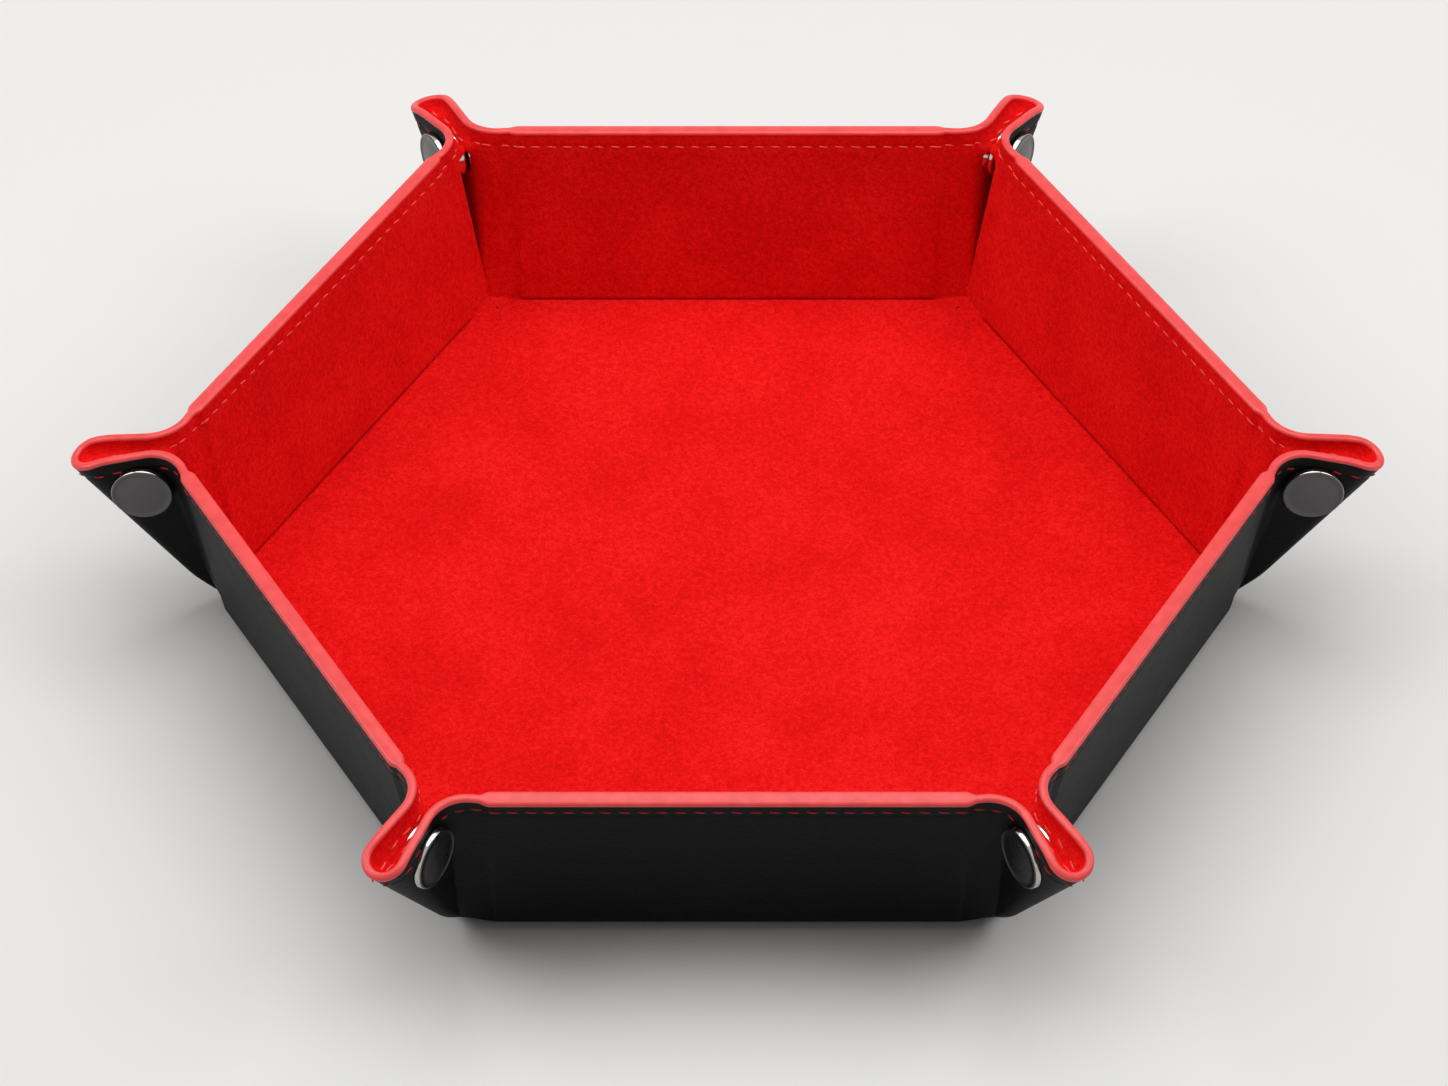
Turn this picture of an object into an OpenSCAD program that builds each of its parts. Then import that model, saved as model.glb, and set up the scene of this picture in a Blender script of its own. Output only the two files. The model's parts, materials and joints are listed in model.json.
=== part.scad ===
// Folding dice tray: a flat hexagon of two soft skins over seven stiff boards.
// Six walls fold up on pressed creases, and each corner is pinched into an ear that one snap holds.
// The tray is drawn snapped up, in millimetres, +Z up, with its origin in the middle of the underside.
// A corner is drawn in its own frame: x outwards along the ear, y to the left, z up.

/* [Tray] */
// Distance from the middle of the floor to each crease
crease_apothem = 89; // [84:0.5:94]
// Width of a wall from its crease to the rim
wall_h = 42; // [39:0.5:44]
// Lean of a wall from upright when the tray is snapped up, in degrees
lean = 10; // [8:0.5:12]
// Thickness of the base and the walls where they hold a board
panel_t = 3; // [2.8:0.1:3.2]

/* [Skins and boards] */
// Thickness of the outer cover
cover_t = 0.8; // [0.6:0.1:0.9]
// Thickness of the inner lining
lining_t = 0.7; // [0.5:0.1:0.8]
// Thickness of the two skins together where there is no board
ear_t = 1.6; // [1.4:0.1:1.6]
// Distance from the end of a wall's board to the corner
soft_len = 7.6; // [7.4:0.1:8.2]
// Distance from the rim down to the edge of a wall's board
rim_inset = 1.6; // [1.2:0.1:2.5]

/* [Ears] */
// Radius of the tray's corners when it lies flat
corner_r = 20; // [14:1:22]
// Distance from a corner's crease point out to the ear's fold, at the rim
ear_reach = 26.2; // [25.5:0.1:26.8]
// Half the width of an ear at its neck, at the rim
neck_half = 2.35; // [2.2:0.05:2.6]
// Angle at which the sides of an ear spread past the neck, at the rim
neck_flare = 6; // [4:0.5:7]
// Radius of the bend from a wall into its ear, at the rim
bend_r = 8; // [7:0.5:8.5]

/* [Snaps] */
// Radius of a snap's cap
cap_r = 6.25; // [5.5:0.05:6.4]
// Height of a cap above the cover
cap_h = 1.45; // [1.2:0.05:1.8]
// Radius of the stud that enters the socket
stud_r = 1.8; // [1.5:0.1:1.9]
// Radius of the socket
socket_r = 5.3; // [4.8:0.1:5.4]

/* [Hidden] */
EARS = ["right", "back_right", "back_left", "left", "front_left", "front_right"];
WALLS = ["back_right", "back", "back_left", "front_left", "front", "front_right"];
SIDES = ["left", "right"];

half_corner = 30;                             // half the turn from one wall to the next
hinge_z = panel_t / 2;                        // the creases lie at half the panel's thickness
side_half = crease_apothem * tan(half_corner);
corner = [crease_apothem / cos(half_corner), 0];
board_t = panel_t - cover_t - lining_t;
board_half = side_half - soft_len;            // half the length of a wall's board
crease_r = hinge_z - 0.05;                    // radius of the soft web along a crease
crease_gap = 0.35;                            // room between that web and the wall
web_reach = 3;                                // how far the web runs into the floor
knot_r = 1.7;                                 // where the skins gather at a corner of the floor
wall_start = crease_r + crease_gap;           // where a wall begins, up from its crease
running_gap = 0.5;                            // room at the soft folds between moving pieces

// The wall on the left of a corner, in the corner's frame
along = [sin(half_corner), -cos(half_corner)]; // along its crease towards the corner
inward = [-cos(half_corner), -sin(half_corner)];
rim_end = wall_h * sin(lean) * [cos(half_corner), sin(half_corner)];

// Shape of the ear at height t, from 0 at the crease to 1 at the rim. All but the top fifth is held
// flat by the snap, and the rim above it is free to swell.
snap_level = 0.8;
low_neck = 3.3;                               // half width at the neck below that, at the rim's scale
low_flare = 1;
low_bend = 4.5;
swell = 10;                                   // turn of the rim into the tray before it bends out
swell_r = 10;
function ease(v) = let (c = min(1, max(0, v))) c * c * (3 - 2 * c);
function mix(a, b, v) = a + (b - a) * v;
function upper(t) = ease((t - snap_level) / (1 - snap_level));
function neck(t) = mix(low_neck, neck_half, upper(t));
function flare(t) = mix(low_flare, neck_flare, upper(t));
function bend(t) = mix(low_bend, bend_r, upper(t));
function swell_turn(t) = swell * upper(t);

// The bend joins the wall's line to the flank's line, which cross at distance cross_at along the wall
neck_x = 9.8;
function cross2(a, b) = a.x * b.y - a.y * b.x;
function flank_dir(t) = [cos(flare(t)), sin(flare(t))];
function cross_at(t) = cross2([neck_x, neck(t)] - rim_end, flank_dir(t)) / cross2(along, flank_dir(t));
function turn(t) = 2 * half_corner + flare(t);
function bend_drop(t) = swell_r * (1 - cos(swell_turn(t))) + bend(t) * (cos(turn(t)) - cos(swell_turn(t)));
function flank_from(t) = -bend_drop(t) / sin(turn(t));
function bend_from(t) = cross_at(t) + flank_from(t) * cos(turn(t))
    - swell_r * sin(swell_turn(t)) - bend(t) * (sin(swell_turn(t)) + sin(turn(t)));
function wall_point(e, n = 0) = rim_end + e * along + n * inward;
function bend_point(t, h) = let (a = swell_turn(t))   // h is the heading, turned into the tray
    wall_point(bend_from(t) + swell_r * sin(a) + bend(t) * (sin(a) - sin(h)),
               swell_r * (1 - cos(a)) + bend(t) * (cos(h) - cos(a)));
function swell_point(t, h) = wall_point(bend_from(t) + swell_r * sin(h), swell_r * (1 - cos(h)));

// The tip is an arc that ends square across the ear
function tip_r(t) = let (f = flare(t))
    (neck(t) + (ear_reach - neck_x) * tan(f)) / (cos(f) + (1 + sin(f)) * tan(f));
function tip_point(t, b) = [ear_reach - tip_r(t) + tip_r(t) * sin(b), tip_r(t) * cos(b)];

// Stations round half an ear: 0 board end, 1 bend begins, 2 middle of the bend, 3 bend ends,
// 4 tip begins, 5 middle of the tip, 6 the ear's fold
function arc_len(r, deg) = r * deg * PI / 180;
function first_bend_len(t) = arc_len(swell_r, swell_turn(t)) + arc_len(bend(t), swell_turn(t) + turn(t) / 2);
function first_bend(t, v) =
    let (l = v * first_bend_len(t), l1 = arc_len(swell_r, swell_turn(t)))
    l < l1 ? swell_point(t, l / swell_r * 180 / PI)
           : bend_point(t, swell_turn(t) - (l - l1) / bend(t) * 180 / PI);
function ear_plan(t, w) =
    w <= 1 ? wall_point(mix(-soft_len, bend_from(t), w))
    : w <= 2 ? first_bend(t, w - 1)
    : w <= 3 ? bend_point(t, -turn(t) / 2 * (w - 1))
    : w <= 4 ? mix(bend_point(t, -turn(t)), tip_point(t, -flare(t)), w - 3)
    : tip_point(t, -flare(t) + (90 + flare(t)) * (w - 4) / 2);
function len_to(w) =                          // length along the rim from the board's end
    let (a = bend_from(1) + soft_len, b = first_bend_len(1), c = arc_len(bend_r, turn(1) / 2),
         d = norm(tip_point(1, -flare(1)) - bend_point(1, -turn(1))), e = arc_len(tip_r(1), 90 + flare(1)))
    w <= 1 ? a * w : w <= 2 ? a + b * (w - 1) : w <= 3 ? a + b + c * (w - 2)
    : w <= 4 ? a + b + c + d * (w - 3) : a + b + c + d + e * (w - 4) / 2;

// The rim keeps the length it is cut to: its distance from the corner is that of the flat outline
round_from = (wall_h - corner_r) * tan(half_corner);
cut_len = soft_len + round_from + arc_len(corner_r, half_corner);
function cut_at(w) = len_to(w) * cut_len / len_to(6) - soft_len;
function cut_reach(f) =
    let (a = max(0, f - round_from) / corner_r * 180 / PI)
    norm([min(f, round_from) + corner_r * sin(a), wall_h - corner_r * (1 - cos(a))]);
function foot(w) = min(0, cut_at(w)) * along;
function rim_z(w) = sqrt(pow(cut_reach(max(0, cut_at(w))), 2) - pow(norm(ear_plan(1, w) - foot(w)), 2));
function ear_mid(w, t) =
    let (p = corner + (1 - t) * foot(w) + t * ear_plan(t, w))
    [p.x, p.y, hinge_z + t * rim_z(w)];

// Half the thickness: a board's end tapers into the bare skins, and these thin out at the corner
taper_len = 2.5;
function half_t(w, t) =
    let (d = (w <= 1 ? w * (bend_from(t) + soft_len) : bend_from(t) + soft_len + (w - 1) * 4))
    mix(min(ear_t / 2, 3.2 * t), hinge_z - 0.05, max(0, 1 - d / taper_len));
function ear_normal(w, t) =
    let (d = 0.02, a = max(0, w - d), b = min(6, w + d),
         u = ear_mid(b, t) - ear_mid(a, t), v = ear_mid(w, min(1, t + d)) - ear_mid(w, t - d),
         c = cross(v, u))
    c / norm(c);
function skin_point(w, t, side) = ear_mid(w, t) + side * half_t(w, t) * ear_normal(w, t);

// A closed strip of ear. Each station is a place round the ear and a shift that keeps the same
// width of gap at every height; lows says how far up each station's lowest point is.
low_t = 0.15;                                 // the strips end this far up, above the corner's pocket
HEIGHTS = [low_t, 0.38, 0.66, 0.84, 1];
module strip(stations, lows) {
    n = len(stations);
    m = len(HEIGHTS);
    points = [for (side = [1, -1], i = [0 : n - 1], j = [0 : m - 1])
        let (t = j == 0 ? lows[i] : HEIGHTS[j]) skin_point(stations[i][0] + stations[i][1] / t, t, side)];
    function at(o, i, j) = (o * n + i) * m + j;
    function patch(o, i, j) = [at(o, i, j), at(o, i + 1, j), at(o, i + 1, j + 1), at(o, i, j + 1)];
    function turned(q) = [q[0], q[3], q[2], q[1]];
    function low_edge(i) = [at(0, i, 0), at(1, i, 0), at(1, i + 1, 0), at(0, i + 1, 0)];
    function top_edge(i) = [at(0, i + 1, m - 1), at(1, i + 1, m - 1), at(1, i, m - 1), at(0, i, m - 1)];
    function side_edge(i, j) = [at(0, i, j + 1), at(1, i, j + 1), at(1, i, j), at(0, i, j)];
    quads = concat(
        [for (i = [n - 2 : -1 : 0], j = [m - 2 : -1 : 0]) turned(patch(1, i, j))],
        [for (i = [n - 2 : -1 : 0], j = [m - 2 : -1 : 0]) patch(0, i, j)],
        [for (i = [0 : n - 2]) low_edge(i)],
        [for (i = [0 : n - 2]) top_edge(i)],
        [for (j = [0 : m - 2]) side_edge(0, j)],
        [for (j = [0 : m - 2]) turned(side_edge(n - 1, j))]);
    triangles = [for (q = quads, k = [0, 1]) k == 0 ? [q[0], q[1], q[3]] : [q[1], q[2], q[3]]];
    polyhedron(points, triangles, convexity = 4);
}

// Snap, in the ear's frame: its axis lies across the ear
snap_out = 12.6;                              // outwards from the corner
snap_z = 32.9;
snap_t = (snap_z - hinge_z) / rim_z(3.5);
// Half the distance between the middles of the two flanks, at the snap
snap_half = snap_t * (low_neck + (snap_out / snap_t - neck_x) * tan(low_flare));
under_cap = snap_half + ear_t / 2 + 0.05;
on_lining = snap_half - ear_t / 2;
post_r = 1.4;
hole_r = 1.45;
socket_h = 2.6;
flange_r = 4.6;
flange_h = 0.6;
mouth_r = 2.45;
spring_r = 0.2;                               // wire of the socket's spring
spring_off = 2.2;
snap_clear = 0.45;                            // bottom of the mouth to the end of the stud
roll_r = 0.6;                                 // radius of a cap's rolled rim
face_drop = 0.1;                              // how far the cap's flat face lies below its rim

module at_corner(k, left) rotate([0, 0, 60 * k])
    if (left) children(); else mirror([0, 1, 0]) children();
module at_snap() translate([corner.x + snap_out, 0, snap_z]) rotate([-90, 0, 0]) children();
module at_wall(k) rotate([0, 0, 30 + 60 * k]) translate([crease_apothem, 0, hinge_z])
    rotate([0, lean - 90, 0]) children();
module hexagon(apothem) circle(r = apothem / cos(half_corner), $fn = 6);
module slab(x0, x1, half_y, z0, z1) translate([x0, -half_y, z0]) cube([x1 - x0, 2 * half_y, z1 - z0]);

module base_cover() color("#17171a") {
    linear_extrude(cover_t) hexagon(crease_apothem - wall_start);
    for (k = [0 : 5]) rotate([0, 0, 30 + 60 * k]) {
        translate([crease_apothem, 0, hinge_z]) rotate([90, 0, 0])
            cylinder(r = crease_r, h = 2 * side_half - 1, center = true, $fn = 24);
        slab(crease_apothem - web_reach, crease_apothem, side_half - 2.2, 0.1, hinge_z - 0.1);
    }
    for (k = [0 : 5]) rotate([0, 0, 60 * k]) translate([corner.x, 0, 0.15])
        cylinder(r = knot_r, h = panel_t - 0.4, $fn = 24);
}
module base_board() color("#9b8d78")
    translate([0, 0, cover_t]) linear_extrude(board_t) hexagon(crease_apothem - web_reach - 0.2);
module base_lining() color("#e01418")
    translate([0, 0, cover_t + board_t]) linear_extrude(lining_t) hexagon(crease_apothem - wall_start);

ends = [for (w = [0, 0.5, 1, 1.35, 1.7, 2]) [w, 0]];
end_lows = [for (w = [0, 0.5, 1, 1.35, 1.7, 2]) mix(wall_start / wall_h, low_t, w / 2)];
module wall_cover(k) color("#17171a") {
    at_wall(k) {
        slab(wall_start, wall_h - 0.06, board_half + 0.6, -hinge_z + 0.01, cover_t - hinge_z);
        slab(wall_h - rim_inset + 0.1, wall_h - 0.06, board_half + 0.5, -hinge_z + 0.03, hinge_z - lining_t);
    }
    at_corner(k, true) strip(ends, end_lows);
    at_corner(k + 1, false) strip(ends, end_lows);
}
module wall_board(k) color("#9b8d78") at_wall(k)
    slab(wall_start, wall_h - rim_inset, board_half - 0.1, cover_t - hinge_z, hinge_z - lining_t);
module wall_lining(k) color("#e01418") at_wall(k)
    slab(wall_start, wall_h, board_half - 0.1, hinge_z - lining_t, hinge_z);

bend_gap = running_gap / arc_len(low_bend, half_corner);
tip_gap = running_gap / arc_len(tip_r(0.5), 45);
fold_gap = 0.1 / arc_len(tip_r(0.5), 45);     // the two halves of a tip stop just short of each other
flank_at = [[2, bend_gap], [2.35, bend_gap / 2], [2.7, 0], [3, 0], [4, 0], [4.35, 0], [4.7, 0], [5, 0]];
tip_at = [[5, tip_gap], [5.35, tip_gap / 2], [5.7, 0], [6, -fold_gap]];
module flank(k, left) color("#17171a") at_corner(k, left) difference() {
    strip(flank_at, [for (s = flank_at) low_t]);
    at_snap() cylinder(r = hole_r, h = 20, $fn = 24);
}
module tip(k, left) color("#1d1d20") at_corner(k, left) strip(tip_at, [for (s = tip_at) low_t]);

// A cap with a flat face, a rolled rim and the rivet post that holds the snap's inner half
module cap() translate([0, 0, under_cap]) rotate_extrude($fn = 64)
    union() {
        polygon([[0, 0.25], [cap_r - 0.55, 0.25], [cap_r - 0.55, cap_h - 0.25],
                 [cap_r - 1.1, cap_h - face_drop], [0, cap_h - face_drop]]);
        translate([cap_r - roll_r, roll_r]) circle(r = roll_r, $fn = 24);
        translate([cap_r - roll_r - 0.25, cap_h - roll_r]) circle(r = roll_r, $fn = 24);
    }
module post() translate([0, 0, on_lining - 0.3])
    cylinder(r = post_r, h = under_cap - on_lining + 0.8, $fn = 24);
module snap_socket(k) color("#6b6b70") at_corner(k, true) at_snap() {
    cap();
    post();
    difference() {
        translate([0, 0, on_lining - socket_h]) rotate_extrude($fn = 64)
            polygon([[0, 0.15], [socket_r - 1.1, 0.15], [socket_r - 0.7, 0], [socket_r - 0.25, 0.15],
                     [socket_r, 0.6], [socket_r - 0.3, socket_h], [0, socket_h]]);
        translate([0, 0, on_lining - socket_h - 1]) cylinder(r = mouth_r, h = socket_h + 1 - 0.3, $fn = 32);
    }
    for (side = [-1, 1]) translate([side * spring_off, 0, on_lining - socket_h + 1]) rotate([90, 0, 0])
        cylinder(r = spring_r, h = 3, center = true, $fn = 16);
}
stud_h = 2 * on_lining - flange_h - 0.3 - snap_clear;
module snap_stud(k) color("#6b6b70") at_corner(k, false) at_snap() {
    cap();
    post();
    translate([0, 0, on_lining - flange_h]) cylinder(r = flange_r, h = flange_h, $fn = 64);
    translate([0, 0, on_lining - flange_h - stud_h + stud_r * 0.5])
        cylinder(r = stud_r, h = stud_h - stud_r * 0.5 + 0.1, $fn = 32);
    translate([0, 0, on_lining - flange_h - stud_h + stud_r * 0.5]) rotate([180, 0, 0])
        cylinder(r1 = stud_r, r2 = stud_r * 0.55, h = stud_r * 0.5, $fn = 32);
}

base_cover();
base_board();
base_lining();
for (k = [0 : 5]) {
    wall_cover(k);
    wall_board(k);
    wall_lining(k);
    for (s = SIDES) {
        flank(k, s == "left");
        tip(k, s == "left");
    }
    snap_socket(k);
    snap_stud(k);
}
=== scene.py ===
import json
from functools import lru_cache
from math import atan2, cos, hypot, pi, radians, sin, sqrt, tan

import bmesh
import bpy
import numpy as np
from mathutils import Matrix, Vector


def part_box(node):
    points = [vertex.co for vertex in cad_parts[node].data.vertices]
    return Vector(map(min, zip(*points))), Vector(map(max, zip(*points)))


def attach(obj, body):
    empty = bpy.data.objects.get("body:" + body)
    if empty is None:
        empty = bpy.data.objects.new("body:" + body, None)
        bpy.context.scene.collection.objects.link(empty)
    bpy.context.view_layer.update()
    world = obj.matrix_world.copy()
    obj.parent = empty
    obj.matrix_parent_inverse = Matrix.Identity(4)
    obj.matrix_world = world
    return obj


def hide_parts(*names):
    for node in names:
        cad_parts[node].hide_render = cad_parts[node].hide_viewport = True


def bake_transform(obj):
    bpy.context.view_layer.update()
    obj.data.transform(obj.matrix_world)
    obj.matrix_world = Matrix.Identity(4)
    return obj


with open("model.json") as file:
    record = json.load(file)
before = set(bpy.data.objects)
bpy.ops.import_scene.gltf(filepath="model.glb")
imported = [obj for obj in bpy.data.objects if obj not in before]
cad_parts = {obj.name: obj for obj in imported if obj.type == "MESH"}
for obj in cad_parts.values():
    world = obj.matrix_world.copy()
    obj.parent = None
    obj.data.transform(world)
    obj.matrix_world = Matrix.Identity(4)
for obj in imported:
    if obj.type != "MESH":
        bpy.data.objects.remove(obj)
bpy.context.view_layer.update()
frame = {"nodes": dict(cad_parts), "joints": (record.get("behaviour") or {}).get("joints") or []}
scene = bpy.context.scene

mm = 0.001                                # the shapes are worked out in millimetres
earNames = ["right", "back_right", "back_left", "left", "front_left", "front_right"]
wallNames = ["back_right", "back", "back_left", "front_left", "front", "front_right"]
joints = {j["name"]: j for j in frame["joints"]}


# The tray's shape. A corner is worked out in its own frame: x outwards along the ear, y to the left, z up.

frontHinge = joints["front_wall_hinge"]["pos_m"]
tray = {
    "creaseApothem": -frontHinge[1] / mm,         # middle of the floor to each crease
    "hingeZ": frontHinge[2] / mm,         # height of the creases, half the panel's thickness
    "lean": radians(10),                  # of a wall from upright
    "boardT": 3.0,                        # thickness where there is a board
    "skinsT": 1.6,                        # and where there are only the two skins
    "coverT": 0.8,
    "liningT": 0.7,
    "softLen": 7.6,                       # end of a wall's board to the corner
    "cornerR": 20.0,                      # radius of a corner of the flat tray
}
ear = {
    "reach": 26.2,                        # corner to the ear's fold, at the rim
    "neckHalf": 2.35,
    "flare": radians(6),
    "bendR": 8.0,
    "lowNeckHalf": 3.3,                   # the same below the snap, at the rim's scale
    "lowFlare": radians(1),
    "lowBendR": 4.5,
    "snapLevel": 0.8,                     # share of the height that the snap holds flat
    "neckX": 9.8,
    "swell": radians(10),                 # turn of the rim into the tray before it bends out
    "swellR": 10.0,
    "liftIn": 0.5,                        # how far the skins at the foot of an ear gather
    "liftUp": 1.4,                        # inwards and up
    "liftR": 8.0,
    "liftPower": 1.35,                    # more makes the gather sharper
}
halfCorner = radians(30)
hingeZ = tray["hingeZ"]
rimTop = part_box("front_wall_lining")[1].z / mm
wallH = (rimTop - hingeZ * (1 + sin(tray["lean"]))) / cos(tray["lean"])
sideHalf = tray["creaseApothem"] * tan(halfCorner)
cornerX = tray["creaseApothem"] / cos(halfCorner)
corner = np.array([cornerX, 0.0, hingeZ])
along = np.array([sin(halfCorner), -cos(halfCorner)])      # a wall's crease, towards the corner
inward = np.array([-cos(halfCorner), -sin(halfCorner)])
rimEnd = wallH * sin(tray["lean"]) * -inward


def ease(v):
    v = min(1.0, max(0.0, v))
    return v * v * (3 - 2 * v)


def mix(a, b, v):
    return a + (b - a) * v


def cross2(a, b):
    return a[0] * b[1] - a[1] * b[0]


# The middle of an ear's skins seen from above, at the height t from 0 at the crease to 1 at the rim
class EarPlan:
    def __init__(self, t):
        up = ease((t - ear["snapLevel"]) / (1 - ear["snapLevel"]))
        self.neck = mix(ear["lowNeckHalf"], ear["neckHalf"], up)
        self.flare = mix(ear["lowFlare"], ear["flare"], up)
        self.bendR = mix(ear["lowBendR"], ear["bendR"], up)
        self.swell = ear["swell"] * up
        self.turn = 2 * halfCorner + self.flare
        flank = np.array([cos(self.flare), sin(self.flare)])
        crossAt = cross2(np.array([ear["neckX"], self.neck]) - rimEnd, flank) / cross2(along, flank)
        r, s = self.bendR, ear["swellR"]
        drop = s * (1 - cos(self.swell)) + r * (cos(self.turn) - cos(self.swell))
        self.bendFrom = (crossAt - drop / sin(self.turn) * cos(self.turn)
                         - s * sin(self.swell) - r * (sin(self.swell) + sin(self.turn)))
        f = self.flare
        self.tipR = (self.neck + (ear["reach"] - ear["neckX"]) * tan(f)) / (cos(f) + (1 + sin(f)) * tan(f))
        self.firstBend = s * self.swell + r * (self.swell + self.turn / 2)
        self.flankLen = float(np.linalg.norm(self.tip(-f) - self.bend(-self.turn)))

    def wall(self, e, n=0.0):
        return rimEnd + e * along + n * inward

    def bend(self, heading):
        a, r, s = self.swell, self.bendR, ear["swellR"]
        return self.wall(self.bendFrom + s * sin(a) + r * (sin(a) - sin(heading)),
                         s * (1 - cos(a)) + r * (cos(heading) - cos(a)))

    def tip(self, b):
        return np.array([ear["reach"] - self.tipR + self.tipR * sin(b), self.tipR * cos(b)])

    def point(self, w):                   # w: 0 board end, 1-3 bend, 3-4 flank, 4-6 tip
        if w <= 1:
            return self.wall(mix(-tray["softLen"], self.bendFrom, w))
        if w <= 2:
            run, s = (w - 1) * self.firstBend, ear["swellR"]
            if run < s * self.swell:
                return self.wall(self.bendFrom + s * sin(run / s), s * (1 - cos(run / s)))
            return self.bend(self.swell - (run - s * self.swell) / self.bendR)
        if w <= 3:
            return self.bend(-self.turn / 2 * (w - 1))
        if w <= 4:
            return mix(self.bend(-self.turn), self.tip(-self.flare), w - 3)
        return self.tip(-self.flare + (pi / 2 + self.flare) * (w - 4) / 2)

    def lengthTo(self, w):                # along the skins, from the board's end
        a = self.bendFrom + tray["softLen"]
        c = self.bendR * self.turn / 2
        e = self.tipR * (pi / 2 + self.flare) / 2
        parts = [a, self.firstBend, c, self.flankLen, e, e]
        return sum(p * min(1.0, max(0.0, w - i)) for i, p in enumerate(parts))


rimPlan = EarPlan(1.0)
rimLen = rimPlan.lengthTo(6)
roundFrom = (wallH - tray["cornerR"]) * tan(halfCorner)
cutLen = tray["softLen"] + roundFrom + tray["cornerR"] * halfCorner


@lru_cache(maxsize=None)
def planAt(t):
    return EarPlan(t)


def cutAt(w):                             # where a station lies on the flat tray's outline
    return rimPlan.lengthTo(w) * cutLen / rimLen - tray["softLen"]


def cutReach(f):                          # that outline's distance from the corner
    a = max(0.0, f - roundFrom) / tray["cornerR"]
    r = tray["cornerR"]
    return hypot(min(f, roundFrom) + r * sin(a), wallH - r * (1 - cos(a)))


def footAt(w):
    return min(0.0, cutAt(w)) * along


def rimRise(w):
    return sqrt(cutReach(max(0.0, cutAt(w))) ** 2 - np.linalg.norm(rimPlan.point(w) - footAt(w)) ** 2)


skin = {
    "creaseR": 1.3,                       # how far from a crease its bend begins
    "floorStrip": 4.0,                    # width of floor that bends with a wall
    "liningParts": (0.45, 1.75),          # the skins part round a board between these distances
    "coverParts": (1.2, 2.8),             # from its crease
    "boardTaper": 1.9,                    # and past a wall board's end over this one
    "floorCorner": 4.6,                   # from a corner to the floor board's cut end
    "floorTaper": 2.6,
    "stitchDown": 3.7,                    # seam below the rim
    "stitchDownOut": 2.8,                 # and on the outside of a wall
    "stitchDip": 0.13,                    # depth and width of the groove that it pulls in
    "dipWide": 0.55,
    "rimDown": 0.75,                      # the skins stop this far below the rim's top
    "puff": 2.8,                          # the lining swells over the snap in an ear
    "puffDown": 4.8,
    "puffWide": 1.3,
    "puffBend": 0.7,                      # share of the bend's second half over which it rises
    "closest": 0.008,                     # from an ear's lining to the ear's middle
}


def liftNear(p):                          # the soft skins gather at the foot of each ear
    away = np.linalg.norm(p - corner)
    v = max(0.0, 1 - away / ear["liftR"]) ** ear["liftPower"]
    return p + v * np.array([-ear["liftIn"], 0.0, ear["liftUp"]])


# A place on the skins: g from -6 at an ear's fold over -1 at its bend and 0 at the end of a board to 1
# at the middle of a wall, and s millimetres up from the crease, less than 0 on the floor.
@lru_cache(maxsize=None)
def columnOf(g):
    if g < 0:
        w = -g
        foot = footAt(w)
        rim = rimPlan.point(w)
        length = hypot(float(np.linalg.norm(rim - foot)), rimRise(w))
        return w, foot, length
    u = mix(tray["softLen"], sideHalf, g)
    return None, -along * u, wallH


def middle(g, s):
    w, foot, length = columnOf(g)
    fromCorner = float(np.linalg.norm(foot))
    floorPart = lambda d: corner + np.append(foot + inward * min(d, fromCorner * tan(2 * halfCorner)), 0.0)

    def wallPart(d):
        t = d / length
        if w is None:
            flat, rise = foot + rimEnd * t, wallH * cos(tray["lean"]) * t
        else:
            flat, rise = (1 - t) * foot + t * planAt(t).point(w), t * rimRise(w)
        return corner + np.append(flat, rise)

    r = skin["creaseR"] * ease(fromCorner / 3)
    if s <= -r:
        p = floorPart(-s)
    elif s >= r or r < 1e-6:
        p = wallPart(max(s, 0.0))
    else:
        v = (s + r) / (2 * r)
        onCrease = corner + np.append(foot, 0.0)
        p = (1 - v) ** 2 * floorPart(r) + 2 * v * (1 - v) * onCrease + v * v * wallPart(r)
    return liftNear(p)


def halfThick(g, s, parts):
    w, foot, length = columnOf(g)
    thin, thick = tray["skinsT"] / 2, tray["boardT"] / 2
    upFromCrease = ease((abs(s) - parts[0]) / (parts[1] - parts[0]))
    if s < 0:
        away = np.linalg.norm(foot + inward * min(-s, np.linalg.norm(foot) * tan(2 * halfCorner)))
        beside = ease((away - skin["floorCorner"]) / skin["floorTaper"])
    elif w is None:
        beside = 1.0
    else:
        beside = ease(1 - planAt(max(s, 0) / length).lengthTo(w) / skin["boardTaper"])
    return mix(thin, thick, upFromCrease * beside)


def normalAt(g, s):                       # points into the tray
    step, rise = 0.02, 0.2                # how far the differences reach, along the rim and up
    fromCorner = float(np.linalg.norm(columnOf(g)[1]))
    room = fromCorner * tan(2 * halfCorner)       # of floor before the next wall's
    if s < 0 and room < 0.6:
        return np.array([0.0, 0.0, 1.0])
    if s < 0:
        s = max(s, 0.3 - room)
    elif g <= -1:
        s = max(s, 0.5)
    across = middle(min(1.0, g + step), s) - middle(max(-6.0, g - step), s)
    lower = s - rise if g > -1 or s <= 0 else max(0.05, s - rise)
    up = middle(g, s + rise) - middle(g, lower)
    n = np.cross(up, across)
    if s < 0 and room - 0.35 < -s:        # on the mitre between two walls' strips of floor
        n[1] = 0.0
    return n / max(np.linalg.norm(n), 1e-12)


def stitchDipAt(length, s):
    return skin["stitchDip"] * np.exp(-((length - s - skin["stitchDown"]) / skin["dipWide"]) ** 2)


def puffAt(g, s):                         # how much thicker the lining is inside an ear
    w, foot, length = columnOf(g)
    if w is None or w < 2:
        return 0.0
    rise = skin["puff"] * ease((w - 2) / skin["puffBend"])
    return rise * np.exp(-((length - s - skin["puffDown"]) / skin["puffWide"]) ** 2)


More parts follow.
